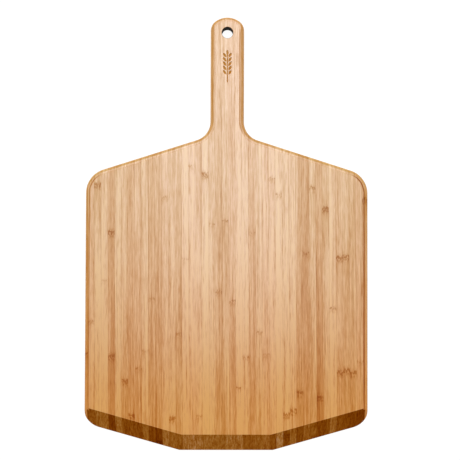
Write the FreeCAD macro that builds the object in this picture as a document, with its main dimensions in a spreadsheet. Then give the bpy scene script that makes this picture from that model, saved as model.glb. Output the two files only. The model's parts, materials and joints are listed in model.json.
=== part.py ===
import FreeCAD, Part
import math
import os

import Sketcher
from FreeCAD import Placement, Rotation, Vector

# A flat bamboo pizza peel, lying on its underside. The origin is under the middle of the box that
# holds it, on the level of the underside: +Z is up out of the serving face and +Y is towards the
# end of the handle. The board is glued up from upright staves that all run along Y and is then
# machined as one, so the board is drawn once, and each stave is what the board keeps of its strip.

DIMENSIONS = {
    "overall_length": (546.8, "front edge to the end of the handle"),
    "blade_width": (355.6, "side to side, 14 inches"),
    "thickness": (12.0, "underside to serving face"),
    "front_edge": (118.0, "the straight middle of the front edge"),
    "front_slope": (15.75, "degrees that the edge runs back on both sides of it"),
    "front_corner": (24.0, "radius between the front slope and the side"),
    "side_top": (323.6, "front edge to where the straight sides end"),
    "rear_corner": (31.0, "radius between the side and the shoulder"),
    "shoulder_slope": (17.75, "degrees that the shoulder rises to the handle"),
    "neck": (24.5, "radius between the shoulder and the handle"),
    "handle_width": (42.4, "side to side"),
    "handle_corner": (14.6, "radius at each side of the handle's end"),
    "handle_crown": (25.5, "radius of the middle of the handle's end"),
    "edge_inset": (6.2, "outline to the step around the serving face"),
    "edge_step": (0.8, "height of that step"),
    "round_over": (5.2, "radius of the upper edge below the step"),
    "underside_round": (1.5, "radius of the lower edge"),
    "bevel_width": (22.0, "front edge to the top of the front bevel"),
    "tip_thickness": (3.0, "left standing at the front edge"),
    "hole_diameter": (14.0, "hanging hole"),
    "hole_setback": (20.8, "end of the handle to the middle of the hole"),
    "hole_rim": (0.6, "radius of the hole's two rims"),
    "mark_setback": (62.8, "end of the handle to the middle of the wheat ear"),
    "mark_length": (42.0, "the wheat ear from its foot to its tip"),
    "mark_depth": (0.5, "how deep it is burnt in"),
    "stem_width": (1.4, "the ear's stem"),
    "grain_length": (7.2, "one grain of the ear"),
    "grain_width": (3.0, "across its middle"),
    "grain_tilt": (33.0, "degrees that a grain leans away from the stem"),
    "grain_spacing": (5.4, "from one pair of grains to the next"),
    "grain_pairs": (5.0, "pairs along the stem"),
    "stave_width": (8.4, "one bamboo stave"),
    "first_joint": (2.2, "origin to the glue line next to it, on its right"),
    "grain_lean": (0.46, "degrees that the staves lean to the left of +Y"),
}

LEFT_STAVES = 19
HANDLE_STAVES = 6
RIGHT_STAVES = 18

UP = Vector(0, 0, 1)
START, END, CENTRE = 1, 2, 3  # the points of a sketch's line or arc
ORIGIN = (-1, 1)
UPRIGHT_AXIS = -2
SAME = 1e-4  # mm, or share of a volume: closer than this counts as equal

doc = FreeCAD.newDocument("pizza_peel")
sheet = doc.addObject("Spreadsheet::Sheet", "Dimensions")
for row, (alias, (value, meaning)) in enumerate(DIMENSIONS.items(), start=1):
    sheet.set(f"A{row}", alias)
    sheet.set(f"B{row}", str(value))
    sheet.set(f"C{row}", meaning)
    sheet.setAlias(f"B{row}", alias)
doc.recompute()


def size(alias):
    """The number in one of the sheet's cells."""
    return float(sheet.get(alias))


def bind(thing, prop, expression):
    """Binds a property to an expression, in which a bare alias such as #neck is a cell's value."""
    thing.setExpression(prop, expression.replace("#", "Dimensions."))


def sketch_on(body, name, role, height=None):
    """A new sketch on one of the body's own origin planes, or that height above it."""
    sketch = body.newObject("Sketcher::SketchObject", name)
    plane = next(p for p in body.Origin.OriginFeatures if p.Role == role)
    sketch.AttachmentSupport = [(plane, "")]
    sketch.MapMode = "FlatFace"
    if height:
        bind(sketch, ".AttachmentOffset.Base.z", height)
    return sketch


def dimension(sketch, name, kind, points, expression):
    """Adds a named constraint of a kind such as Radius, whose size is an expression."""
    value = sketch.evalExpression(expression.replace("#", "Dimensions."))
    sketch.addConstraint(Sketcher.Constraint(kind, *points, value))
    sketch.renameConstraint(sketch.ConstraintCount - 1, name)
    bind(sketch, f"Constraints.{name}", expression)


def add_line(sketch, start, end):
    """A line, as its number in the sketch and its two ends in the order that they are walked."""
    return sketch.addGeometry(Part.LineSegment(start, end)), START, END


def add_arc(sketch, centre, radius, from_angle, to_angle):
    """An arc walked from one angle to the other, in degrees, either way round."""
    low, high = sorted((from_angle, to_angle))
    circle = Part.Circle(centre, UP, radius)
    arc = Part.ArcOfCircle(circle, math.radians(low), math.radians(high))
    ends = (START, END) if from_angle < to_angle else (END, START)
    return (sketch.addGeometry(arc), *ends)


def around(centre, radius, angle):
    """The point of a circle at an angle in degrees."""
    return centre + Vector(radius * math.cos(math.radians(angle)), radius * math.sin(math.radians(angle)), 0)


def front_end(side, inset):
    """The end of the front edge on one side, where the edge starts to run back."""
    half_edge = size("front_edge") / 2 - inset * math.tan(math.radians(size("front_slope") / 2))
    return Vector(side * half_edge, inset - size("overall_length") / 2, 0)


def half_outline(sketch, side, inset):
    """Walks one side of the outline from the front edge to the crown of the handle: slope, corner,
    side, corner, shoulder, neck, handle and its corner. side is 1 on the right and -1 on the left."""
    back, rise = size("front_slope"), size("shoulder_slope")
    half_length = size("overall_length") / 2
    edge = size("blade_width") / 2 - inset
    grip = size("handle_width") / 2 - inset
    front_radius = size("front_corner") - inset
    rear_radius = size("rear_corner") - inset
    neck_radius = size("neck") + inset
    end_radius = size("handle_corner") - inset
    crown_radius = size("handle_crown") - inset

    front = front_end(1, inset)
    meeting = front.y + (edge - front.x) * math.tan(math.radians(back))
    front_centre = Vector(
        edge - front_radius, meeting + front_radius * math.tan(math.radians(45 - back / 2)), 0
    )
    rear_centre = Vector(edge - rear_radius, size("side_top") - half_length, 0)
    shoulder = around(rear_centre, rear_radius, 90 - rise)
    neck_x = grip + neck_radius
    off_line = neck_radius - (neck_x - shoulder.x) * math.sin(math.radians(rise))
    neck_centre = Vector(neck_x, shoulder.y + off_line / math.cos(math.radians(rise)), 0)
    crown_centre = Vector(0, half_length - size("handle_crown"), 0)
    reach = crown_radius - end_radius
    crown_angle = math.degrees(math.acos((grip - end_radius) / reach))
    end_centre = around(crown_centre, reach, crown_angle)

    def place(point):
        return Vector(side * point.x, point.y, 0)

    def turn(angle):
        return angle if side > 0 else 180 - angle

    def line(start, end):
        return add_line(sketch, place(start), place(end))

    def arc(centre, radius, from_angle, to_angle):
        return add_arc(sketch, place(centre), radius, turn(from_angle), turn(to_angle))

    slope_end = around(front_centre, front_radius, back - 90)
    side_start = Vector(edge, front_centre.y, 0)
    side_end = Vector(edge, rear_centre.y, 0)
    neck_start = around(neck_centre, neck_radius, 270 - rise)
    grip_start = Vector(grip, neck_centre.y, 0)
    grip_end = Vector(grip, end_centre.y, 0)
    return [
        line(front, slope_end),
        arc(front_centre, front_radius, back - 90, 0),
        line(side_start, side_end),
        arc(rear_centre, rear_radius, 0, 90 - rise),
        line(shoulder, neck_start),
        arc(neck_centre, neck_radius, 270 - rise, 180),
        line(grip_start, grip_end),
        arc(end_centre, end_radius, 0, crown_angle),
    ], crown_angle


def draw_outline(sketch, inset_alias=None):
    """The closed outline of the board, or a line all round it that is inset by one of the sizes."""
    inset = size(inset_alias) if inset_alias else 0
    less = f" - #{inset_alias}" if inset_alias else ""
    more = f" + #{inset_alias}" if inset_alias else ""
    right, crown_angle = half_outline(sketch, 1, inset)
    left, _ = half_outline(sketch, -1, inset)
    crown_centre = Vector(0, size("overall_length") / 2 - size("handle_crown"), 0)
    crown_radius = size("handle_crown") - inset
    crown = add_arc(sketch, crown_centre, crown_radius, crown_angle, 180 - crown_angle)
    crown_from_left = (crown[0], crown[2], crown[1])
    front = add_line(sketch, front_end(-1, inset), front_end(1, inset))

    constrain = sketch.addConstraint
    constrain(Sketcher.Constraint("Coincident", front[0], START, left[0][0], left[0][1]))
    constrain(Sketcher.Constraint("Coincident", front[0], END, right[0][0], right[0][1]))
    constrain(Sketcher.Constraint("Symmetric", front[0], START, front[0], END, UPRIGHT_AXIS))
    for (one, _, last), (other, first, _) in zip(right, right[1:] + [crown]):
        constrain(Sketcher.Constraint("Tangent", one, last, other, first))
    for place, ((one, _, last), (other, first, _)) in enumerate(zip(left, left[1:] + [crown_from_left])):
        kind = "Tangent" if place % 2 == 0 else "Coincident"
        constrain(Sketcher.Constraint(kind, one, last, other, first))
    for (one, _, last), (other, _, other_last) in zip(right, left):
        constrain(Sketcher.Constraint("Symmetric", one, last, other, other_last, UPRIGHT_AXIS))

    slope, front_corner, side, rear_corner, shoulder, neck, grip, end_corner = [piece[0] for piece in right]
    constrain(Sketcher.Constraint("Vertical", side))
    constrain(Sketcher.Constraint("Vertical", grip))
    left_front, right_front = (front[0], START), (front[0], END)
    cut_back = f" - 2 * #{inset_alias} * tan(#front_slope * 0.5 deg)" if inset_alias else ""
    sizes = (
        ("front_edge", "DistanceX", (*left_front, *right_front), "#front_edge" + cut_back),
        ("front_reach", "DistanceY", (*right_front, *ORIGIN), "#overall_length / 2" + less),
        ("front_slope", "Angle", (slope,), "#front_slope * 1 deg"),
        ("front_corner", "Radius", (front_corner,), "#front_corner" + less),
        ("half_width", "DistanceX", (*ORIGIN, side, END), "#blade_width / 2" + less),
        ("side_top", "DistanceY", (*ORIGIN, side, END), "#side_top - #overall_length / 2"),
        ("rear_corner", "Radius", (rear_corner,), "#rear_corner" + less),
        ("shoulder_slope", "Angle", (shoulder,), "(180 - #shoulder_slope) * 1 deg"),
        ("neck", "Radius", (neck,), "#neck" + more),
        ("half_grip", "DistanceX", (*ORIGIN, grip, END), "#handle_width / 2" + less),
        ("end_corner", "Radius", (end_corner,), "#handle_corner" + less),
        ("crown", "Radius", (crown[0],), "#handle_crown" + less),
        ("crown_centre", "DistanceY", (*ORIGIN, crown[0], CENTRE), "#overall_length / 2 - #handle_crown"),
    )
    for name, kind, points, expression in sizes:
        dimension(sketch, name, kind, points, expression)


def pad(body, sketch, name, length):
    """Raises a sketch to a solid, upwards."""
    feature = body.newObject("PartDesign::Pad", name)
    feature.Profile = sketch
    bind(feature, "Length", length)
    doc.recompute()


def pocket(body, sketch, name, depth):
    """Cuts a sketch down into the solid, and returns the cut."""
    feature = body.newObject("PartDesign::Pocket", name)
    feature.Profile = sketch
    bind(feature, "Length", depth)
    doc.recompute()
    return feature


def round_edges(body, name, radius, chosen):
    """Rounds the edges of the solid so far for which chosen(edge) is true."""
    base = body.Tip
    edges = [f"Edge{i}" for i, edge in enumerate(base.Shape.Edges, start=1) if chosen(edge)]
    feature = body.newObject("PartDesign::Fillet", name)
    feature.Base = (base, edges)
    bind(feature, "Radius", radius)
    doc.recompute()


def lies_at(edge, height):
    """True for an edge that keeps to one height all the way."""
    box = edge.BoundBox
    return abs(box.ZMin - height) < SAME and abs(box.ZMax - height) < SAME


def front_bevel(body, name, x, turn):
    """Planes the front down to its tip along one of the three front edges. x is where the edge
    starts and turn how far it runs back, both as expressions."""
    sketch = sketch_on(body, f"{name}_profile", "YZ_Plane")
    sketch.AttachmentOffset = Placement(Vector(), Rotation(Vector(0, 1, 0), 0))
    bind(sketch, ".AttachmentOffset.Base.x", "-#overall_length / 2")
    bind(sketch, ".AttachmentOffset.Base.z", x)
    bind(sketch, ".AttachmentOffset.Rotation.Angle", turn)
    bevel, tip, top = size("bevel_width"), size("tip_thickness"), size("thickness")
    # The cutter is a triangle whose lower side is the bevel: it starts as far outside the front
    # edge, and ends as far past the top of the bevel, as the bevel is wide.
    fall = top - tip
    outside, beyond = Vector(-bevel, tip - fall, 0), Vector(2 * bevel, top + fall, 0)
    corner = Vector(-bevel, top + fall, 0)
    lower = sketch.addGeometry(Part.LineSegment(outside, beyond))
    upper = sketch.addGeometry(Part.LineSegment(beyond, corner))
    outer = sketch.addGeometry(Part.LineSegment(corner, outside))
    for one, other in ((lower, upper), (upper, outer), (outer, lower)):
        sketch.addConstraint(Sketcher.Constraint("Coincident", one, END, other, START))
    sketch.addConstraint(Sketcher.Constraint("Horizontal", upper))
    sketch.addConstraint(Sketcher.Constraint("Vertical", outer))
    fall_expression = "(#thickness - #tip_thickness)"
    dimension(sketch, "overshoot", "DistanceX", (lower, START, *ORIGIN), "#bevel_width")
    dimension(sketch, "run", "DistanceX", (lower, START, lower, END), "3 * #bevel_width")
    dimension(sketch, "climb", "DistanceY", (lower, START, lower, END), "3 * " + fall_expression)
    dimension(sketch, "ceiling", "DistanceY", (*ORIGIN, upper, END), "#thickness + " + fall_expression)
    feature = pocket(body, sketch, name, "2 * #blade_width")
    feature.Midplane = True
    doc.recompute()


def hanging_hole(body):
    """The hole near the end of the handle, right through, with its rims eased."""
    sketch = sketch_on(body, "hole_circle", "XY_Plane", "#thickness")
    centre = Vector(0, size("overall_length") / 2 - size("hole_setback"), 0)
    circle = sketch.addGeometry(Part.Circle(centre, UP, size("hole_diameter") / 2))
    sketch.addConstraint(Sketcher.Constraint("PointOnObject", circle, CENTRE, UPRIGHT_AXIS))
    reach = "#overall_length / 2 - #hole_setback"
    dimension(sketch, "reach", "DistanceY", (*ORIGIN, circle, CENTRE), reach)
    dimension(sketch, "diameter", "Diameter", (circle,), "#hole_diameter")
    pocket(body, sketch, "hanging_hole", "#thickness")
    bore = size("hole_diameter") / 2

    def is_rim(edge):
        return isinstance(edge.Curve, Part.Circle) and abs(edge.Curve.Radius - bore) < SAME

    round_edges(body, "hole_rims", "#hole_rim", is_rim)


def add_grain(sketch, name, base, tilt):
    """A pointed grain of two equal arcs that starts at base and leans by tilt degrees from +Y."""
    length, width = size("grain_length"), size("grain_width")
    radius = (length**2 + width**2) / (4 * width)
    sweep = math.degrees(math.asin(length / 2 / radius))
    tip = around(base, length, 90 + tilt)
    middle = (base + tip) / 2
    off_spine = radius - width / 2
    opposite = 180 + tilt
    right = add_arc(sketch, around(middle, off_spine, opposite), radius, tilt - sweep, tilt + sweep)
    left = add_arc(sketch, around(middle, off_spine, tilt), radius, opposite - sweep, opposite + sweep)
    spine = sketch.addGeometry(Part.LineSegment(base, tip), True)
    for arc, first, last in ((right[0], START, END), (left[0], END, START)):
        sketch.addConstraint(Sketcher.Constraint("Coincident", arc, first, spine, START))
        sketch.addConstraint(Sketcher.Constraint("Coincident", arc, last, spine, END))
    dimension(sketch, f"{name}_length", "Distance", (spine,), "#grain_length")
    rounding = "(#grain_length ^ 2 + #grain_width ^ 2) / (4 * #grain_width)"
    dimension(sketch, f"{name}_right", "Radius", (right[0],), rounding)
    dimension(sketch, f"{name}_left", "Radius", (left[0],), rounding)
    return spine


def wheat_ear(body):
    """A plain wheat ear burnt into the handle: a stem that ends in one grain, and grains in pairs."""
    mark_foot = size("overall_length") / 2 - size("mark_setback") - size("mark_length") / 2
    foot = "#overall_length / 2 - #mark_setback - #mark_length / 2"
    half_stem = size("stem_width") / 2
    stem_end = mark_foot + size("mark_length") - size("grain_length")

    stem = sketch_on(body, "stem_outline", "XY_Plane", "#thickness")
    corners = [
        Vector(x, y, 0)
        for x, y in (
            (-half_stem, mark_foot),
            (half_stem, mark_foot),
            (half_stem, stem_end),
            (-half_stem, stem_end),
        )
    ]
    lines = [stem.addGeometry(Part.LineSegment(a, b)) for a, b in zip(corners, corners[1:] + corners[:1])]
    bottom, right, top, left = lines
    for one, other in zip(lines, lines[1:] + lines[:1]):
        stem.addConstraint(Sketcher.Constraint("Coincident", one, END, other, START))
    for upright in (left, right):
        stem.addConstraint(Sketcher.Constraint("Vertical", upright))
    stem.addConstraint(Sketcher.Constraint("Horizontal", top))
    stem.addConstraint(Sketcher.Constraint("Symmetric", bottom, START, bottom, END, UPRIGHT_AXIS))
    dimension(stem, "width", "DistanceX", (bottom, START, bottom, END), "#stem_width")
    dimension(stem, "height", "DistanceY", (right, START, right, END), "#mark_length - #grain_length")
    dimension(stem, "foot", "DistanceY", (*ORIGIN, bottom, START), foot)
    pocket(body, stem, "wheat_stem", "#mark_depth")

    crown = sketch_on(body, "top_grain_outline", "XY_Plane", "#thickness")
    spine = add_grain(crown, "top", Vector(0, stem_end - half_stem, 0), 0)
    crown.addConstraint(Sketcher.Constraint("PointOnObject", spine, START, UPRIGHT_AXIS))
    crown.addConstraint(Sketcher.Constraint("Vertical", spine))
    top_base = foot + " + #mark_length - #grain_length - #stem_width / 2"
    dimension(crown, "base", "DistanceY", (*ORIGIN, spine, START), top_base)
    pocket(body, crown, "wheat_top_grain", "#mark_depth")

    pairs = size("grain_pairs")
    first = stem_end - half_stem - (pairs - 0.5) * size("grain_spacing")
    first_base = top_base + " - (#grain_pairs - 0.5) * #grain_spacing"
    grains = sketch_on(body, "grain_pair_outline", "XY_Plane", "#thickness")
    for name, sign in (("left", 1), ("right", -1)):
        tilt = sign * size("grain_tilt")
        spine = add_grain(grains, name, Vector(-sign * size("stem_width"), first, 0), tilt)
        base = (spine, START)
        out = (*base, *ORIGIN) if sign > 0 else (*ORIGIN, *base)
        dimension(grains, f"{name}_out", "DistanceX", out, "#stem_width")
        dimension(grains, f"{name}_up", "DistanceY", (*ORIGIN, *base), first_base)
        dimension(grains, f"{name}_tilt", "Angle", (spine,), f"(90 + {sign} * #grain_tilt) * 1 deg")
    pair = pocket(body, grains, "wheat_grain_pair", "#mark_depth")

    row = body.newObject("PartDesign::LinearPattern", "wheat_grain_row")
    row.Originals = [pair]
    row.Direction = (grains, ["V_Axis"])
    bind(row, "Length", "#grain_spacing * (#grain_pairs - 1)")
    bind(row, "Occurrences", "#grain_pairs")
    body.Tip = row
    doc.recompute()


def machined_board():
    """The whole board as it comes off the router, before it is told apart into staves."""
    body = doc.addObject("PartDesign::Body", "machined_board")
    outline = sketch_on(body, "outline", "XY_Plane")
    draw_outline(outline)
    ledge = size("thickness") - size("edge_step")
    pad(body, outline, "board", "#thickness - #edge_step")
    round_edges(body, "upper_edge", "#round_over", lambda edge: lies_at(edge, ledge))
    round_edges(body, "lower_edge", "#underside_round", lambda edge: lies_at(edge, 0))
    face = sketch_on(body, "serving_face_outline", "XY_Plane")
    draw_outline(face, "edge_inset")
    pad(body, face, "serving_face", "#thickness")
    front_bevel(body, "middle_bevel", "0", "0")
    front_bevel(body, "right_bevel", "#front_edge / 2", "#front_slope")
    front_bevel(body, "left_bevel", "-#front_edge / 2", "-#front_slope")
    hanging_hole(body)
    wheat_ear(body)
    return body


def stave(board, name, place):
    """One bamboo stave. place counts the glue lines from first_joint to the stave's left face."""
    blank = doc.addObject("Part::Box", f"{name}_blank")
    bind(blank, "Length", "#stave_width")
    bind(blank, "Width", "2 * #overall_length")
    bind(blank, "Height", "#thickness")
    lean = "(#grain_lean * 1 deg)"
    across = f"(#first_joint + {place} * #stave_width)"
    bind(blank, ".Placement.Rotation.Angle", lean)
    bind(blank, ".Placement.Base.x", f"{across} * cos{lean} + #overall_length * sin{lean}")
    bind(blank, ".Placement.Base.y", f"{across} * sin{lean} - #overall_length * cos{lean}")
    piece = doc.addObject("Part::Common", name)
    piece.Label = name
    piece.Base = board
    piece.Tool = blank
    piece.Placement = Placement()
    return piece


def stave_places():
    """Each stave's name and place, left to right. Blade staves are counted from the handle out."""
    handle_start = -HANDLE_STAVES // 2
    for number in range(LEFT_STAVES, 0, -1):
        yield f"left_blade_stave_{number:02}", handle_start - number
    for number in range(HANDLE_STAVES):
        yield f"handle_stave_{number + 1}", handle_start + number
    for number in range(RIGHT_STAVES):
        yield f"right_blade_stave_{number + 1:02}", handle_start + HANDLE_STAVES + number


board = machined_board()
staves = [stave(board, name, place) for name, place in stave_places()]
doc.recompute()

for item in doc.Objects:
    if "Invalid" in item.State or "Error" in item.State:
        raise RuntimeError(f"{item.Label} is {item.State}")
for piece in staves:
    if piece.Shape.isNull() or not piece.Shape.isValid() or len(piece.Shape.Solids) != 1:
        raise RuntimeError(f"{piece.Label} has no sound solid")
whole = board.Shape.Volume
total = sum(piece.Shape.Volume for piece in staves)
if abs(total - whole) > SAME * whole:
    raise RuntimeError(f"the staves hold {total:.0f} of the board's {whole:.0f} cubic mm")

os.makedirs("parts", exist_ok=True)
for piece in staves:
    piece.Shape.exportStep(f"parts/{piece.Label}.step")
print(f"{len(staves)} staves, {whole / 1000:.1f} cubic cm")
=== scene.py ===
import json
import math
import random

import bmesh
import bpy
from mathutils import Matrix, Vector


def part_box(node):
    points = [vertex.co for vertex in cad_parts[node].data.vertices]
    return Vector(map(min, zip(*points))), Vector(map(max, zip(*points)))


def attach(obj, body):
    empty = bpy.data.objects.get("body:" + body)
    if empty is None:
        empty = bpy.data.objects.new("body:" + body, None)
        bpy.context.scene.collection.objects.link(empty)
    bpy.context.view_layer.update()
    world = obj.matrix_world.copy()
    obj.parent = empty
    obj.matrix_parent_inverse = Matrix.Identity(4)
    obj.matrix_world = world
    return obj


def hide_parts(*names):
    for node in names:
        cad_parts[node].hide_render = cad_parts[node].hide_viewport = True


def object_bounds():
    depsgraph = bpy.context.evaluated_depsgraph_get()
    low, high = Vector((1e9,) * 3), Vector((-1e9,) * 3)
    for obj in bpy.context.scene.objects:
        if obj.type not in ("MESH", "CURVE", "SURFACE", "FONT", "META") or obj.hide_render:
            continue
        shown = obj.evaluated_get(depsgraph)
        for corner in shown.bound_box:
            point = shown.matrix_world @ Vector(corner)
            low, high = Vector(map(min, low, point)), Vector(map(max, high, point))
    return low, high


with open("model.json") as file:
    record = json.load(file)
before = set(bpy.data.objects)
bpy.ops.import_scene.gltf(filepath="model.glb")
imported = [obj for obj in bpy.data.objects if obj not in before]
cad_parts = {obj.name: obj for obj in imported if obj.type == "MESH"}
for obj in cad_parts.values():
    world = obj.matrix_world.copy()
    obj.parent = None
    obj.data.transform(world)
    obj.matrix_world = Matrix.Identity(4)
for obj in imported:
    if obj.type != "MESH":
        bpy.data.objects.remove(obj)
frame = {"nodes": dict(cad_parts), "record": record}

# A bamboo pizza peel lying on a pale floor. The frame holds it as machined staves. Here the board is
# drawn again with finer curves and eased creases, is cut along the same glue lines, and every stave
# is finished in oiled bamboo whose grain, knuckles and tone are its own.

MM = 0.001
CAD_LOW, CAD_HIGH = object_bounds()
HALF_WIDTH = (CAD_HIGH.x - CAD_LOW.x) / 2
THICKNESS = CAD_HIGH.z - CAD_LOW.z
FRONT, REAR = CAD_LOW.y, CAD_HIGH.y
STAVES = sorted(frame["nodes"], key=lambda node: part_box(node)[0].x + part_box(node)[1].x)
WELD = 1e-7
QUARTER_TURN = math.pi / 2

# The outline
HALF_FRONT = 59 * MM
FRONT_SLOPE = math.radians(15.75)
FRONT_CORNER = 24 * MM
SIDE_TOP = FRONT + 323.6 * MM
REAR_CORNER = 31 * MM
SHOULDER_SLOPE = math.radians(17.75)
NECK = 24.5 * MM
HALF_HANDLE = 21.2 * MM
HANDLE_CORNER = 14.6 * MM
HANDLE_CROWN = 25.5 * MM
ARC_STEP = math.radians(3)

# The edge, from the underside up
UNDERSIDE_ROUND = 1.5 * MM
ROUND_OVER = 5.2 * MM
EDGE_INSET = 6.2 * MM
EDGE_STEP = 0.8 * MM
STEP_EASE = 0.25 * MM
LEDGE = THICKNESS - EDGE_STEP

# The front bevel. Creases along it that turn by more than LEAST_CREASE are eased.
BEVEL_WIDTH = 22 * MM
TIP = 3 * MM
CREASE_EASE = 0.35 * MM
LEAST_CREASE = math.radians(12)
SAME_FACING = 0.99999

# The hanging hole, and the spool that cuts it. Its flange starts at the rim's foot, goes this far out
# and this little down, and ends beyond the board's faces.
HOLE = next(mount for mount in frame["record"]["mounts"] if mount["name"] == "hanging_hole")
HOLE_RADIUS = HOLE["dims"]["r_mm"] * MM
HOLE_RIM = (THICKNESS - HOLE["dims"]["length_mm"] * MM) / 2
RIM_SWEEP = math.radians(85)
RIM_STEPS = 6
SPOOL_REACH = 4.572 * MM
SPOOL_DROP = 0.035 * MM
SPOOL_BEYOND = 2 * MM
SPOOL_SIDES = 72

# The burnt wheat ear
MARK_MIDDLE = REAR - 62.8 * MM
MARK_LENGTH = 42 * MM
MARK_DEPTH = 0.5 * MM
MARK_FOOT_SIZE = 0.96
STEM_WIDTH = 1.4 * MM
GRAIN_LENGTH = 7.2 * MM
GRAIN_WIDTH = 3 * MM
GRAIN_TILT = math.radians(33)
GRAIN_SPACING = 5.4 * MM
GRAIN_PAIRS = 5
GRAIN_STEPS = 12

# The staves
STAVE_WIDTH = 8.4 * MM
FIRST_JOINT = 2.2 * MM
LEAN = math.radians(0.46)
JOINT_LEFT_OF_MIDDLE = 21
SHARP_ANGLE = math.radians(32)

# A stave's tone is drawn by chance about 1, the middling bamboo. It strays this far at the front, at
# the rear, and where the bevel cuts through the fibres. The staves near the middle are paler, and a
# level then sets each region as a whole: at the front and the rear it is painted light, set to how
# the light falls along the board, and on the bevel it is partly soaked end grain and partly painted
# shade. OWN_STRAY is how far its ends stray apart, as a share.
FRONT_STRAY, REAR_STRAY, BEVEL_STRAY = 0.22, 0.14, 0.42
OWN_STRAY = 0.6
FRONT_PAINTED_LIGHT, REAR_PAINTED_LIGHT, BEVEL_PAINTED_SHADE_AND_SOAK = 1.1, 1.01, 0.92
PALER_MIDDLE = 0.12
MIDDLE_STAVES = 12

# The staves whose tone stands out, as the stave's place from the left and its tone at the front, at
# the rear and on the bevel.
BOLD_TONES = {
    1: (1.1, 1.05, 0.8),
    2: (1.15, 1.08, 0.95),
    3: (1.2, 1.1, 0.95),
    4: (0.7, 0.9, 0.65),
    5: (1.05, 1.1, 1.25),
    6: (0.9, 1.03, 0.8),
    10: (0.85, 0.9, 0.65),
    11: (0.8, 0.9, 0.6),
    12: (1.1, 1.05, 1.15),
    30: (1.1, 1.15, 0.75),
    31: (1.1, 1.15, 1.05),
    35: (0.7, 0.85, 0.9),
    37: (1.2, 1.1, 1.05),
    # The dark bevels of staves 38 to 42 darken the bevel's right corner, partly as painted shade.
    38: (0.95, 1.0, 0.75),
    39: (0.95, 1.0, 0.65),
    40: (0.92, 0.97, 0.6),
    41: (0.95, 1.0, 0.5),
    42: (0.9, 1.0, 0.5),
}

# Knuckles that stand out, as the stave's place from the left and the heights along it in millimetres.
# Every other stave has one faint knuckle somewhere between the two heights of FAINT_KNUCKLES.
BOLD_KNUCKLES = {
    2: (62,),
    4: (-153, 2),
    6: (-184,),
    7: (-227,),
    11: (-262,),
    13: (-230,),
    18: (74,),
    30: (-253, -227),
    31: (-223,),
    32: (-199,),
    35: (-205,),
    36: (31,),
    38: (-174, -31),
    39: (-172, -30),
    40: (-175,),
    42: (42,),
}
FAINT_KNUCKLES = (-240, 90)
FAINT_WEIGHTS = (0.25, 0.6)
NO_KNUCKLE = -999.0
MOST_KNUCKLE = 0.55
MOST_BEND = 9
WOBBLE = 5.0

# The linear colour of a middling stave at the front edge and towards the handle. The handle end is
# paler and greyer partly as painted sheen, where the light falls on it. As the bamboo darkens, each
# channel falls by its own power of the paleness.
FRONT_BAMBOO = (0.635, 0.27, 0.058)
REAR_BAMBOO = (0.66, 0.36, 0.145)
RED_POWER, GREEN_POWER, BLUE_POWER = 0.58, 1.1, 2.9
LEAST_PALE, MOST_PALE, MOST_PALE_BLUE = 0.02, 1.28, 1.14

# What each kind of fibre is like: its width, length and depth in millimetres, the noise's detail and
# roughness, and a shift that keeps the kinds apart. A bundle has only the three measures.
BROAD = (2.8, 130.0, 7.0, 1.0, 0.5, 0.0)
STREAKS = (1.7, 60.0, 2.6, 3.0, 0.6, 31.0)
HAIRS = (0.9, 14.0, 1.0, 3.0, 0.65, 77.0)
DRIFT = (40.0, 120.0, 40.0, 1.0, 0.5, 13.0)
SWING = 3.2
BUNDLE = (1.1, 24.0, 1.1)
GLUE_WIDTH = 0.4

# How much darker the bamboo is in each place, as a share. The pores, the glue, the end grain and the
# burnt ear are the bamboo's own; the rims, the rounding, the step and the hole are painted shade, and
# the bevel is partly end grain soaked with oil and partly painted shade.
DARKER_PORES = 0.3
DARKER_GLUE = 0.28
DARKER_END_GRAIN = 0.05
DARKER_BEVEL_SOAK_AND_SHADE = 0.54
DARKER_REAR_RIM = 0.1
DARKER_LEFT_RIM = 0.09
DARKER_RIGHT_RIM = 0.12
DARKER_EAR = 0.34
DARKER_STEP_SHADE = 0.7
DARKER_ROUNDING = 0.05
DARKER_HANDLE_RIM = 0.11
DARKER_HOLE_SHADE = 0.97

# The finish
ROUGHNESS = 0.38
IOR = 1.65
USUAL_SPECULAR = 0.8
RELIEF = 0.05 * MM

# The floor, the lamps and the camera, in metres and radians. A panel has a place, a size and a power
# in watts.
WHITE = (1, 1, 1, 1)
FLOOR_COLOUR = (0.12, 0.12, 0.12, 1)
FLOOR_GLOW = 0.95
FLOOR_FLAT = 5.0
FLOOR_SWEEP = 2.0
FLOOR_SIDES = 64
FLOOR_GAP = 0.2 * MM
SUN_STRENGTH = 2.3
SUN_WIDTH = math.radians(50)
SUN_SIDE = (-0.4, 3.9, 4.6)
PANELS = {
    "overhead": ((0.05, 1.3, 3.0), (1.65, 1.0), 13),
    "overhead_front": ((0.05, 0.03, 3.0), (1.5, 0.93), 15),
}
ROOM_STRENGTH = 0.08
LENS = 48.7
SENSOR = 36
CAMERA_PLACE = (-1.2 * MM, -8.9 * MM, THICKNESS + 780 * MM)
CAMERA_TILT = (0.0163, -0.0066, 0.0031)


def mm(length):
    """A length in millimetres, which is what the bamboo's nodes count in."""
    return length / MM


def turned(x, y, angle):
    """The point (x, y) turned about Z."""
    return Matrix.Rotation(angle, 3, "Z") @ Vector((x, y, 0))


def direction(angle):
    """The unit vector in the plane of the floor at an angle from +X."""
    return Vector((math.cos(angle), math.sin(angle), 0))


def arc(centre, radius, start, end, hollow=False):
    """Points of an arc with the board's outward normals, which face the centre on a hollow one."""
    steps = max(2, round(abs(end - start) / ARC_STEP))
    angles = [start + (end - start) * i / steps for i in range(steps + 1)]
    facing = -1 if hollow else 1
    return [(centre + radius * direction(a), facing * direction(a)) for a in angles]


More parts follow.
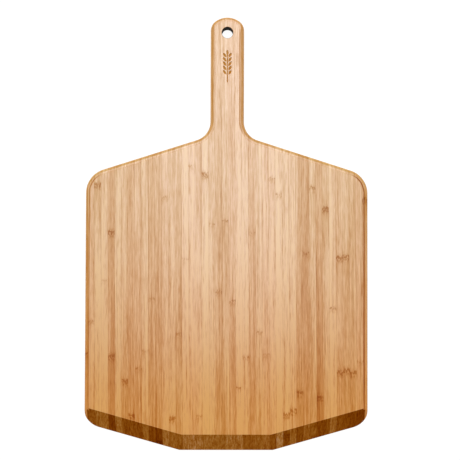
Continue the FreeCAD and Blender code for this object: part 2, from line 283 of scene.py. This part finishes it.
def right_outline():
    """The outline's right half from the front edge to the middle of the handle's end."""
    mitre = direction(FRONT_SLOPE / 2 - QUARTER_TURN) / math.cos(FRONT_SLOPE / 2)
    corner_y = FRONT + (HALF_WIDTH - HALF_FRONT) * math.tan(FRONT_SLOPE)
    front_y = corner_y + FRONT_CORNER * math.tan((QUARTER_TURN - FRONT_SLOPE) / 2)
    front_centre = Vector((HALF_WIDTH - FRONT_CORNER, front_y, 0))
    rear_centre = Vector((HALF_WIDTH - REAR_CORNER, SIDE_TOP, 0))
    rise = QUARTER_TURN - SHOULDER_SLOPE
    shoulder = rear_centre + REAR_CORNER * direction(rise)
    neck_x = HALF_HANDLE + NECK
    off_line = NECK - (neck_x - shoulder.x) * math.sin(SHOULDER_SLOPE)
    neck_centre = Vector((neck_x, shoulder.y + off_line / math.cos(SHOULDER_SLOPE), 0))
    crown_centre = Vector((0, REAR - HANDLE_CROWN, 0))
    reach = HANDLE_CROWN - HANDLE_CORNER
    crown_start = math.acos((HALF_HANDLE - HANDLE_CORNER) / reach)
    end_centre = crown_centre + reach * direction(crown_start)
    return (
        [(Vector((HALF_FRONT, FRONT, 0)), mitre)]
        + arc(front_centre, FRONT_CORNER, FRONT_SLOPE - QUARTER_TURN, 0)
        + arc(rear_centre, REAR_CORNER, 0, rise)
        + arc(neck_centre, NECK, math.pi + rise, math.pi, hollow=True)
        + arc(end_centre, HANDLE_CORNER, 0, crown_start)
        + arc(crown_centre, HANDLE_CROWN, crown_start, QUARTER_TURN)[1:]
    )


def outline():
    """The whole outline, anticlockwise, as points with outward normals."""
    right = right_outline()
    across = Matrix.Diagonal((-1, 1, 1))
    left = [(across @ point, across @ normal) for point, normal in reversed(right[:-1])]
    return right + left


def rounding(inset, height, radius, start, end, steps):
    """A rounding of the edge's profile about (inset, height), in degrees from straight outwards."""
    angles = [math.radians(start + (end - start) * i / steps) for i in range(steps + 1)]
    return [(inset - radius * math.cos(a), height + radius * math.sin(a)) for a in angles]


def edge_profile():
    """The edge's profile, as (inset, height), from the underside up to the serving face."""
    return (
        rounding(UNDERSIDE_ROUND, UNDERSIDE_ROUND, UNDERSIDE_ROUND, -90, 0, steps=5)
        + rounding(ROUND_OVER, LEDGE - ROUND_OVER, ROUND_OVER, 0, 90, steps=12)
        + [(EDGE_INSET - STEP_EASE / 2, LEDGE), (EDGE_INSET, LEDGE + STEP_EASE / 2)]
        + rounding(EDGE_INSET + STEP_EASE, THICKNESS - STEP_EASE, STEP_EASE, 0, 90, steps=3)
    )


def join_rings(bm, lower, upper):
    """Faces between two rings of as many vertices each."""
    for i in range(len(lower)):
        j = (i + 1) % len(lower)
        bm.faces.new((lower[i], lower[j], upper[j], upper[i]))


def solid_of(rings):
    """A closed mesh through rings of points of equal length, bottom up and anticlockwise."""
    bm = bmesh.new()
    made = [[bm.verts.new(point) for point in ring] for ring in rings]
    for lower, upper in zip(made, made[1:]):
        join_rings(bm, lower, upper)
    bm.faces.new(list(reversed(made[0])))
    bm.faces.new(made[-1])
    return bm


def whole_board():
    """The board with its edge all round, before the bevel, the hole and the mark are cut."""
    around = outline()
    bm = solid_of(
        [point - inset * normal + Vector((0, 0, height)) for point, normal in around]
        for inset, height in edge_profile()
    )
    bmesh.ops.remove_doubles(bm, verts=bm.verts, dist=WELD)
    bmesh.ops.recalc_face_normals(bm, faces=bm.faces)
    return bm


def cut_off(bm, point, normal):
    """Cuts off what lies beyond a plane and closes the cut. Returns the closing faces."""
    everything = bm.verts[:] + bm.edges[:] + bm.faces[:]
    cut = bmesh.ops.bisect_plane(
        bm, geom=everything, dist=WELD, plane_co=point, plane_no=normal, clear_outer=True
    )
    rim = [item for item in cut["geom_cut"] if isinstance(item, bmesh.types.BMEdge)]
    faces = bmesh.ops.edgeloop_fill(bm, edges=rim)["faces"]
    for face in faces:
        face.normal_update()
        if face.normal.dot(normal) < 0:
            face.normal_flip()
    return faces


def bevel_front(bm):
    """Planes the front down to its tip along its three edges, and eases the creases."""
    fall = math.atan2(THICKNESS - TIP, BEVEL_WIDTH)
    normals = []
    for x, turn in ((0, 0), (HALF_FRONT, FRONT_SLOPE), (-HALF_FRONT, -FRONT_SLOPE)):
        normal = Matrix.Rotation(turn, 3, "Z") @ Vector((0, -math.sin(fall), math.cos(fall)))
        cut_off(bm, Vector((x, FRONT, TIP)), normal)
        normals.append(normal)

    def on_bevel(face):
        return any(face.normal.dot(normal) > SAME_FACING for normal in normals)

    bm.normal_update()
    creases = [
        edge
        for edge in bm.edges
        if len(edge.link_faces) == 2
        and any(on_bevel(face) for face in edge.link_faces)
        and edge.calc_face_angle() > LEAST_CREASE
    ]
    bmesh.ops.bevel(
        bm, geom=creases, offset=CREASE_EASE, segments=2, profile=0.5, affect="EDGES", clamp_overlap=True
    )
    bmesh.ops.remove_doubles(bm, verts=bm.verts, dist=WELD)


def to_object(bm, name):
    """Turns a bmesh into an object and links it."""
    mesh = bpy.data.meshes.new(name)
    bm.to_mesh(mesh)
    bm.free()
    made = bpy.data.objects.new(name, mesh)
    bpy.context.scene.collection.objects.link(made)
    return made


def hole_cutter():
    """A spool that cuts the hanging hole and rounds both of its rims."""
    centre = Vector(HOLE["pos_m"])
    rim_angles = [RIM_SWEEP * (1 - i / RIM_STEPS) for i in range(RIM_STEPS + 1)]
    rim = [
        (HOLE_RADIUS + HOLE_RIM * (1 - math.cos(a)), HOLE_RIM * (1 - math.sin(a))) for a in rim_angles
    ]
    start, height = rim[0]
    flange = [(start + SPOOL_REACH, -SPOOL_BEYOND), (start + SPOOL_REACH, height - SPOOL_DROP)]
    lower = flange + rim
    upper = [(radius, THICKNESS - height) for radius, height in reversed(lower)]
    rings = [
        [
            Vector((centre.x, centre.y, height)) + radius * direction(math.tau * i / SPOOL_SIDES)
            for i in range(SPOOL_SIDES)
        ]
        for radius, height in lower + upper
    ]
    return to_object(solid_of(rings), "hole_cutter")


def prism_cutter(points, name):
    """Cuts a flat shape to the depth of the mark, with walls that lean outwards a little."""
    middle = sum(points, Vector()) / len(points)
    top = THICKNESS + MARK_DEPTH
    foot = [middle + (point - middle) * MARK_FOOT_SIZE for point in points]
    rings = [
        [point + Vector((0, 0, height)) for point in ring]
        for ring, height in ((foot, THICKNESS - MARK_DEPTH), (points, THICKNESS), (points, top))
    ]
    return to_object(solid_of(rings), name)


def grain_points(base, tilt):
    """A pointed grain of two equal arcs, from its base, leaning left of +Y by tilt."""
    radius = (GRAIN_LENGTH**2 + GRAIN_WIDTH**2) / (4 * GRAIN_WIDTH)
    sweep = math.asin(GRAIN_LENGTH / 2 / radius)
    half = []
    for i in range(GRAIN_STEPS + 1):
        a = sweep * (2 * i / GRAIN_STEPS - 1)
        x = radius * (math.cos(a) - 1) + GRAIN_WIDTH / 2
        y = radius * math.sin(a) + GRAIN_LENGTH / 2
        half.append((x, y))
    right = [turned(x, y, tilt) for x, y in half]
    left = [turned(-x, y, tilt) for x, y in reversed(half[1:-1])]
    return [base + point for point in right + left]


def mark_cutters():
    """The wheat ear: its stem, its top grain and its pairs of grains."""
    foot = MARK_MIDDLE - MARK_LENGTH / 2
    stem_end = foot + MARK_LENGTH - GRAIN_LENGTH
    half = STEM_WIDTH / 2
    corners = ((-half, foot), (half, foot), (half, stem_end), (-half, stem_end))
    yield prism_cutter([Vector((x, y, 0)) for x, y in corners], "stem_cutter")
    yield prism_cutter(grain_points(Vector((0, stem_end - half, 0)), 0), "top_grain_cutter")
    for pair in range(GRAIN_PAIRS):
        y = stem_end - half - (pair + 0.5) * GRAIN_SPACING
        for sign in (1, -1):
            base = Vector((-sign * STEM_WIDTH, y, 0))
            yield prism_cutter(grain_points(base, sign * GRAIN_TILT), f"grain_cutter_{pair}_{sign}")


def carve(board, cutter):
    """Takes the cutter's shape out of the board for good."""
    step = board.modifiers.new("carve", "BOOLEAN")
    step.operation = "DIFFERENCE"
    step.solver = "EXACT"
    step.object = cutter
    graph = bpy.context.evaluated_depsgraph_get()
    mesh = bpy.data.meshes.new_from_object(board.evaluated_get(graph), depsgraph=graph)
    board.modifiers.clear()
    board.data = mesh
    bpy.data.objects.remove(cutter)


def machined_board():
    """The finished board in one piece, as a bmesh."""
    bm = whole_board()
    bevel_front(bm)
    board = to_object(bm, "machined_board")
    carve(board, hole_cutter())
    for cutter in mark_cutters():
        carve(board, cutter)
    bm = bmesh.new()
    bm.from_mesh(board.data)
    bpy.data.objects.remove(board)
    return bm


def sawn_staves(board):
    """Cuts the board along its glue lines, from left to right. Yields a bmesh for every stave."""
    across = direction(LEAN)
    for number in range(len(STAVES) - 1):
        place = FIRST_JOINT + (number - JOINT_LEFT_OF_MIDDLE) * STAVE_WIDTH
        stave = board.copy()
        cut_off(stave, place * across, across)
        cut_off(board, place * across, -across)
        yield stave
    yield board


class Shader:
    """A material's nodes, added one by one. Every method returns the socket that it makes."""

    def __init__(self, name):
        self.material = bpy.data.materials.new(name)
        self.material.use_nodes = True
        self.nodes = self.material.node_tree.nodes
        self.links = self.material.node_tree.links
        self.surface = self.nodes["Principled BSDF"]

    def put(self, socket, value):
        if isinstance(value, bpy.types.NodeSocket):
            self.links.new(value, socket)
        else:
            socket.default_value = value

    def node(self, kind, **settings):
        made = self.nodes.new(kind)
        for key, value in settings.items():
            setattr(made, key, value)
        return made

    def math(self, operation, *values):
        made = self.node("ShaderNodeMath", operation=operation)
        for socket, value in zip(made.inputs, values):
            self.put(socket, value)
        return made.outputs[0]

    def product(self, first, *others):
        for other in others:
            first = self.math("MULTIPLY", first, other)
        return first

    def total(self, first, *others):
        for other in others:
            first = self.math("ADD", first, other)
        return first

    def less(self, *parts):
        """What the parts leave of 1."""
        return self.math("SUBTRACT", 1.0, self.total(*parts))

    def absolute(self, value):
        return self.math("ABSOLUTE", value)

    def below(self, value, limit):
        return self.math("LESS_THAN", value, limit)

    def span(self, value, low, high, out_low=0.0, out_high=1.0):
        """Maps low..high smoothly to out_low..out_high, and holds it there."""
        made = self.node("ShaderNodeMapRange", interpolation_type="SMOOTHSTEP")
        for socket, number in zip(made.inputs, (value, low, high, out_low, out_high)):
            self.put(socket, number)
        return made.outputs[0]

    def bell(self, distance, width):
        """1 where distance is 0, falling off to nothing over about twice the width."""
        scaled = self.math("DIVIDE", distance, width)
        return self.math("EXPONENT", self.product(scaled, scaled, -1.0))

    def vector(self, x, y, z):
        made = self.node("ShaderNodeCombineXYZ")
        for socket, value in zip(made.inputs, (x, y, z)):
            self.put(socket, value)
        return made.outputs[0]

    def split(self, vector):
        """The three parts of a vector."""
        made = self.node("ShaderNodeSeparateXYZ")
        self.put(made.inputs[0], vector)
        return made.outputs

    def noise(self, vector, detail, roughness=0.5):
        made = self.node("ShaderNodeTexNoise")
        values = {"Vector": vector, "Scale": 1.0, "Detail": detail, "Roughness": roughness}
        for name, value in values.items():
            self.put(made.inputs[name], value)
        return made.outputs[0]

    def own(self, name):
        """A number that each object carries as a property of its own."""
        made = self.node("ShaderNodeAttribute", attribute_type="OBJECT", attribute_name=name)
        return made.outputs["Fac"]


class Bamboo(Shader):
    """Oiled bamboo. As one number, its paleness, falls, it grows darker and redder, as oil makes it.

    Places are in millimetres, with y along the leaning staves. A region is 1 inside and 0 outside.
    Whatever is multiplied by a stave's seed only keeps the noise of one stave unlike the others'. The
    other bare numbers are limits, widths and strengths.
    """

    def __init__(self):
        super().__init__("oiled_bamboo")
        self.find_place()
        self.find_rims()
        self.find_marks()
        self.grow_fibres()
        self.grow_knuckles()
        self.paint()
        self.polish()

    def find_place(self):
        """Where a point is on the board and in its stave, and which way it faces."""
        place = self.node("ShaderNodeTexCoord")
        along = self.node("ShaderNodeMapping")
        self.put(along.inputs["Vector"], place.outputs["Object"])
        self.put(along.inputs["Rotation"], (0, 0, -LEAN))
        self.put(along.inputs["Scale"], (1 / MM,) * 3)
        self.x, self.y, self.z = self.split(along.outputs[0])
        self.board_x = self.split(place.outputs["Object"])[0]
        self.facing_x, self.facing_y, self.facing_z = self.split(place.outputs["Normal"])
        self.seed = self.own("seed")
        strips = self.math("DIVIDE", self.total(self.x, -mm(FIRST_JOINT)), mm(STAVE_WIDTH))
        self.across = self.math("FRACT", strips)
        self.from_joint = self.product(self.math("PINGPONG", self.across, 0.5), mm(STAVE_WIDTH))
        self.skin_side = self.absolute(self.math("SUBTRACT", self.across, self.own("inner_side")))
        self.length = self.span(self.y, 0.8 * mm(FRONT), 0.3 * mm(REAR))

    def find_rims(self):
        """The end grain, the bevel with its tip, and the rounded edges."""
        self.end_grain = self.span(self.absolute(self.facing_y), 0.04, 0.36)
        # The bevel and the tip's face are darkened in paint(), partly as end grain soaked with oil and
        # partly as painted shade, since they face away from the key. The outer 3.4 to 4.4 mm of the bevel's
        # sides is left out and stays pale: painted light for a rounding that is not in the mesh.
        planed = self.product(
            self.span(self.facing_z, 0.895, 0.915),
            self.span(self.facing_z, 0.975, 0.945),
            self.span(self.facing_y, -0.15, -0.3),
            self.span(self.absolute(self.board_x), HALF_WIDTH - 3.4 * MM, HALF_WIDTH - 4.4 * MM),
        )
        on_tip = self.product(self.span(self.facing_y, -0.7, -0.9), self.below(self.z, 1.1 * mm(TIP)))
        self.on_bevel = self.total(planed, on_tip)
        on_blade = self.span(self.y, 150.0, 110.0)
        # The rims facing the rear and either side, the gently tilted rounding and the handle's rim are
        # darkened in paint() as painted shade, by amounts set to how the light falls on each side.
        rear_rim = self.span(self.facing_y, 0.06, 0.35)
        self.rear_rim = self.product(rear_rim, self.total(self.product(on_blade, 0.7), 0.3))
        self.left_rim = self.product(self.span(self.facing_x, -0.1, -0.5), on_blade)
        self.right_rim = self.span(self.facing_x, 0.3, 0.8)
        self.rounded = self.product(self.span(self.facing_z, 0.985, 0.93), self.length)
        self.handle_rim_shade = self.product(
            self.span(self.z, 4.0, 7.0), self.below(self.z, mm(LEDGE) + 0.1), self.span(self.y, 90.0, 120.0)
        )

    def find_marks(self):
        """The line of painted shade on the ledge below the step, the burnt ear, and the hole, whose wall
        gets painted shade.
        """
        on_handle = self.product(
            self.span(self.x, 14.0, 16.0),
            self.span(self.x, 26.0, 22.0),
            self.span(self.y, 118.0, 135.0),
            self.span(self.y, 262.0, 250.0),
        )
        along_side = self.total(
            self.span(self.x, 152.0, 168.0),
            self.span(self.x, -152.0, -168.0, 0.0, 0.7),
            self.product(on_handle, 0.45),
        )
        # A thin line of painted shade on the ledge beside the step, strongest on the right side, weaker on
        # the left and on the handle.
        self.shaded_step = self.product(
            self.span(self.z, mm(LEDGE) - 0.12, mm(LEDGE) - 0.03),
            self.below(self.z, mm(LEDGE) + 0.2),
            self.span(self.facing_z, 0.988, 0.997),
            along_side,
        )
        self.in_ear = self.product(
            self.below(self.absolute(self.x), 14.0),
            self.below(self.absolute(self.total(self.y, -mm(MARK_MIDDLE))), 0.55 * mm(MARK_LENGTH)),
            self.below(self.z, mm(THICKNESS) - 0.06),
            self.below(mm(THICKNESS - MARK_DEPTH) - 0.05, self.z),
        )
        hole_x, hole_y, _ = Matrix.Rotation(-LEAN, 3, "Z") @ Vector(HOLE["pos_m"])
        off_x = self.total(self.x, -mm(hole_x))
        off_y = self.total(self.y, -mm(hole_y))
        from_hole = self.math("SQRT", self.total(self.product(off_x, off_x), self.product(off_y, off_y)))
        self.in_hole = self.span(from_hole, mm(HOLE_RADIUS + HOLE_RIM), mm(HOLE_RADIUS) + 0.1)

    def fibres(self, wide, long, deep, detail, roughness, shift):
        """Noise drawn out along the grain, different in every stave, about 0 with swings near 1."""
        vector = self.vector(
            self.math("DIVIDE", self.x, wide),
            self.math("DIVIDE", self.total(self.y, self.product(self.seed, 977.0), shift), long),
            self.math("DIVIDE", self.total(self.z, self.product(self.seed, 61.0)), deep),
        )
        return self.product(self.total(self.noise(vector, detail, roughness), -0.5), SWING)

    def grow_fibres(self):
        """The fibres, and the pores, which are the ends of bundles that lie denser near the skin."""
        self.broad, self.streaks, self.hairs, self.drift = (
            self.fibres(*kind) for kind in (BROAD, STREAKS, HAIRS, DRIFT)
        )
        bundles = self.node("ShaderNodeTexVoronoi", feature="F1")
        self.put(bundles.inputs["Scale"], 1.0)
        along = self.total(self.y, self.product(self.seed, 500.0))
        stretched = zip((self.x, along, self.z), BUNDLE)
        vector = self.vector(*(self.math("DIVIDE", part, length) for part, length in stretched))
        self.put(bundles.inputs["Vector"], vector)
        self.pores = self.product(
            self.span(bundles.outputs["Distance"], 0.36, 0.10), self.span(self.skin_side, 0.1, 0.9, 0.3, 1.0)
        )

    def grow_knuckles(self):
        """Where the cane was jointed: dark wavering lines across the staves."""
        off_middle = self.math("SUBTRACT", self.across, 0.5)
        bend = self.product(off_middle, off_middle, self.own("knuckle_bend"))
        waves = self.vector(self.math("DIVIDE", self.x, 1.6), self.product(self.seed, 91.0), 0.0)
        wobble = self.product(self.total(self.noise(waves, 2.0), -0.5), WOBBLE)
        patches = self.vector(
            self.math("DIVIDE", self.x, 1.5), self.math("DIVIDE", self.y, 3.2), self.product(self.seed, 57.0)
        )
        blotches = self.noise(patches, 3.0)

        def knuckle(name):
            """A line, a smudge about it, and wood that stays richer for a way in front of it."""
            off = self.total(self.math("SUBTRACT", self.y, self.own(name)), bend, wobble)
            line = self.product(self.bell(off, 1.1), self.span(blotches, 0.35, 0.6, 0.1, 0.6))
            smudge = self.bell(self.total(off, 1.5), 5.0)
            smudge = self.product(smudge, self.span(blotches, 0.36, 0.64, 0.05, 0.55))
            before = self.product(self.span(off, 4.0, -2.0), self.span(off, -70.0, -4.0), 0.10)
            return self.total(line, smudge, before)

        both = self.total(knuckle("knuckle_1"), knuckle("knuckle_2"))
        self.knuckles = self.math("MINIMUM", self.product(both, self.own("knuckle_weight")), MOST_KNUCKLE)

    def towards_rear(self, front, rear):
        """What is front at the front edge and rear towards the handle."""
        return self.total(front, self.product(self.length, self.math("SUBTRACT", rear, front)))

    def paint(self):
        """The paleness, and the colour that follows from it."""
        contrast = self.total(
            self.product(self.broad, 0.24),
            self.product(self.streaks, self.total(0.30, self.product(self.on_bevel, 0.40))),
            self.product(self.hairs, self.total(0.34, self.product(self.on_bevel, 0.06))),
            self.product(self.drift, 0.05),
            self.product(self.math("SUBTRACT", self.skin_side, 0.5), -0.12),
        )
        scorch = self.total(DARKER_EAR, self.product(self.streaks, 0.05))
        pale = self.product(
            self.towards_rear(self.own("front_tone"), self.own("rear_tone")),
            self.total(1.0, self.product(contrast, self.towards_rear(1.0, 0.85))),
            self.less(self.product(self.pores, DARKER_PORES)),
            self.span(self.from_joint, 0.0, GLUE_WIDTH, 1 - DARKER_GLUE, 1.0),
            self.less(
                self.product(self.end_grain, DARKER_END_GRAIN),
                # the bevel: partly soaked end grain, partly painted shade
                self.product(self.on_bevel, DARKER_BEVEL_SOAK_AND_SHADE),
                # the rims: painted shade, more on the right than on the left
                self.product(self.rear_rim, DARKER_REAR_RIM),
                self.product(self.left_rim, DARKER_LEFT_RIM),
                self.product(self.right_rim, DARKER_RIGHT_RIM),
            ),
            self.total(1.0, self.product(self.on_bevel, self.total(self.own("bevel_tone"), -1.0))),
            self.less(self.product(self.in_ear, scorch)),
            # painted shade on the step's ledge, on the rounding and on the handle's rim
            self.less(
                self.product(self.shaded_step, DARKER_STEP_SHADE),
                self.product(self.rounded, DARKER_ROUNDING),
                self.product(self.handle_rim_shade, DARKER_HANDLE_RIM),
            ),
            self.less(self.knuckles),
        )
        self.pale = self.math("MINIMUM", self.math("MAXIMUM", pale, LEAST_PALE), MOST_PALE)

        # Paler and greyer towards the handle, partly as painted sheen.
        red, green, blue = (self.towards_rear(*ends) for ends in zip(FRONT_BAMBOO, REAR_BAMBOO))
        # The hole's wall and rims are made nearly black: painted shade.
        hole_shade = self.less(self.product(self.in_hole, DARKER_HOLE_SHADE))
        hue = self.total(1.0, self.product(self.own("tint"), 0.025), self.product(self.broad, 0.015))
        olive = self.less(self.product(self.on_bevel, 0.15), self.product(self.rear_rim, 0.08))
        rear_side = self.product(self.length, self.span(self.absolute(self.x), 50.0, 110.0))
        soft_blue = self.total(1.0, self.product(self.on_bevel, 0.9), self.product(rear_side, -0.08))
        cream = self.math("MINIMUM", self.pale, MOST_PALE_BLUE)
        colour = self.node("ShaderNodeCombineColor")
        self.put(colour.inputs["Red"], self.product(self.fall(RED_POWER), red, olive, hole_shade))
        self.put(colour.inputs["Green"], self.product(self.fall(GREEN_POWER), green, hue, hole_shade))
        self.put(
            colour.inputs["Blue"],
            self.product(self.math("POWER", cream, BLUE_POWER), blue, hue, soft_blue, hole_shade),
        )
        self.put(self.surface.inputs["Base Color"], colour.outputs[0])

    def fall(self, power):
        """How a channel falls with the paleness."""
        return self.math("POWER", self.pale, power)

    def polish(self):
        """The sheen of the flat faces, the duller places and the relief of the grain."""
        roughness = self.total(
            ROUGHNESS,
            self.product(self.streaks, 0.04),
            self.product(self.end_grain, 0.12),
            self.product(self.in_ear, 0.35),
            self.product(self.in_hole, 0.4),
            self.product(self.shaded_step, 0.3),
            self.product(self.pores, 0.08),
        )
        lustre = self.total(self.pale, self.product(self.total(self.on_bevel, self.in_ear), -0.6))
        lustre = self.product(
            lustre, self.span(self.y, -260.0, -120.0, 0.5, 1.0), self.span(self.y, 180.0, 270.0, 1.0, 0.8)
        )
        flat = self.span(self.facing_z, 0.90, 0.98, 0.4, 0.95)
        specular = self.surface.inputs["Specular IOR Level"]
        specular.default_value = USUAL_SPECULAR
        self.put(specular, self.product(flat, self.math("MAXIMUM", lustre, 0.0)))
        self.put(self.surface.inputs["IOR"], IOR)
        self.put(self.surface.inputs["Roughness"], roughness)
        height = self.total(
            self.product(self.hairs, 0.25),
            self.product(self.streaks, 0.3),
            self.product(self.pores, -0.5),
            self.product(self.knuckles, 1.2),
        )
        relief = self.node("ShaderNodeBump")
        self.put(relief.inputs["Strength"], 1.0)
        self.put(relief.inputs["Distance"], RELIEF)
        self.put(relief.inputs["Height"], height)
        self.put(self.surface.inputs["Normal"], relief.outputs[0])


def draw_tones(number, chance):
    """How pale a stave is at the front, at the rear and on the bevel."""
    whole = chance.uniform(-1, 1)
    middle = PALER_MIDDLE * max(0, 1 - abs(number - JOINT_LEFT_OF_MIDDLE) / MIDDLE_STAVES)
    front = 1 + middle + FRONT_STRAY * (whole + chance.uniform(-OWN_STRAY, OWN_STRAY))
    rear = 1 + middle + REAR_STRAY * (whole + chance.uniform(-OWN_STRAY, OWN_STRAY))
    bevel = 1 + middle + BEVEL_STRAY * chance.uniform(-1, 1)
    front, rear, bevel = BOLD_TONES.get(number, (front, rear, bevel))
    return FRONT_PAINTED_LIGHT * front, REAR_PAINTED_LIGHT * rear, BEVEL_PAINTED_SHADE_AND_SOAK * bevel


def finish_stave(stave, node, number, material, chance, tones):
    """Gives one stave its shading, its bamboo and its place in the frame."""
    mesh = stave.data
    mesh.materials.append(material)
    mesh.shade_smooth()
    mesh.set_sharp_from_angle(angle=SHARP_ANGLE)
    weighted = stave.modifiers.new("flat_faces_stay_flat", "WEIGHTED_NORMAL")
    weighted.keep_sharp = True
    weighted.weight = 80
    stave["front_tone"], stave["rear_tone"], stave["bevel_tone"] = tones
    stave["seed"] = chance.uniform(0, 1)
    stave["inner_side"] = float(chance.random() < 0.5)
    stave["tint"] = chance.uniform(-1, 1)
    heights = BOLD_KNUCKLES.get(number)
    stave["knuckle_weight"] = 1.0 if heights else chance.uniform(*FAINT_WEIGHTS)
    heights = heights or (chance.uniform(*FAINT_KNUCKLES),)
    stave["knuckle_1"] = float(heights[0])
    stave["knuckle_2"] = float(heights[1]) if len(heights) > 1 else NO_KNUCKLE
    stave["knuckle_bend"] = chance.uniform(-MOST_BEND, MOST_BEND)
    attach(stave, "root")
    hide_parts(node)


def floor():
    """A pale round floor that sweeps up into a low wall far from the peel."""
    around = [direction(math.tau * i / FLOOR_SIDES) for i in range(FLOOR_SIDES)]
    bm = bmesh.new()
    rings = []
    for degrees in range(0, 91, 10):
        a = math.radians(degrees)
        radius = FLOOR_FLAT + FLOOR_SWEEP * math.sin(a)
        lift = Vector((0, 0, FLOOR_SWEEP * (1 - math.cos(a))))
        rings.append([bm.verts.new(radius * outwards + lift) for outwards in around])
    bm.faces.new(rings[0])
    for inner, outer in zip(rings, rings[1:]):
        join_rings(bm, outer, inner)
    bmesh.ops.recalc_face_normals(bm, faces=bm.faces)
    made = to_object(bm, "floor")
    s = Shader("pale_floor")
    looks = {
        "Base Color": FLOOR_COLOUR,
        "Roughness": 0.9,
        "Specular IOR Level": 0.1,
        "Emission Color": WHITE,
        "Emission Strength": FLOOR_GLOW,
    }
    for name, value in looks.items():
        s.put(s.surface.inputs[name], value)
    made.data.materials.append(s.material)
    made.location.z = -FLOOR_GAP


def hang(lamp, place, back):
    """Puts a lamp in the scene with its back turned that way."""
    made = bpy.data.objects.new(lamp.name, lamp)
    made.location = place
    made.rotation_euler = Vector(back).to_track_quat("Z", "Y").to_euler()
    bpy.context.scene.collection.objects.link(made)


def studio():
    """A high, wide sun beyond the handle, two soft panels overhead, and a dim white room."""
    sun = bpy.data.lights.new("key", "SUN")
    sun.energy = SUN_STRENGTH
    sun.angle = SUN_WIDTH
    hang(sun, (0, 0, 0), SUN_SIDE)
    for name, (place, size, power) in PANELS.items():
        panel = bpy.data.lights.new(name, "AREA")
        panel.shape = "RECTANGLE"
        panel.size, panel.size_y = size
        panel.energy = power
        hang(panel, place, (0, 0, 1))
    world = bpy.data.worlds.new("room")
    bpy.context.scene.world = world
    world.use_nodes = True
    background = world.node_tree.nodes["Background"]
    background.inputs["Color"].default_value = WHITE
    background.inputs["Strength"].default_value = ROOM_STRENGTH
    bpy.context.scene.view_settings.view_transform = "Standard"


def camera():
    """Looks straight down on the peel from 0.78 m above it, a hair out of square."""
    lens = bpy.data.cameras.new("camera")
    lens.lens = LENS
    lens.sensor_width = SENSOR
    made = bpy.data.objects.new("camera", lens)
    made.location = CAMERA_PLACE
    made.rotation_mode = "ZXY"
    made.rotation_euler = CAMERA_TILT
    bpy.context.scene.collection.objects.link(made)
    bpy.context.scene.camera = made


material = Bamboo().material
chance = random.Random(14)
tone_chance = random.Random(7)
for number, (node, bm) in enumerate(zip(STAVES, sawn_staves(machined_board()))):
    tones = draw_tones(number, tone_chance)
    finish_stave(to_object(bm, f"bamboo_{node}"), node, number, material, chance, tones)
floor()
studio()
camera()
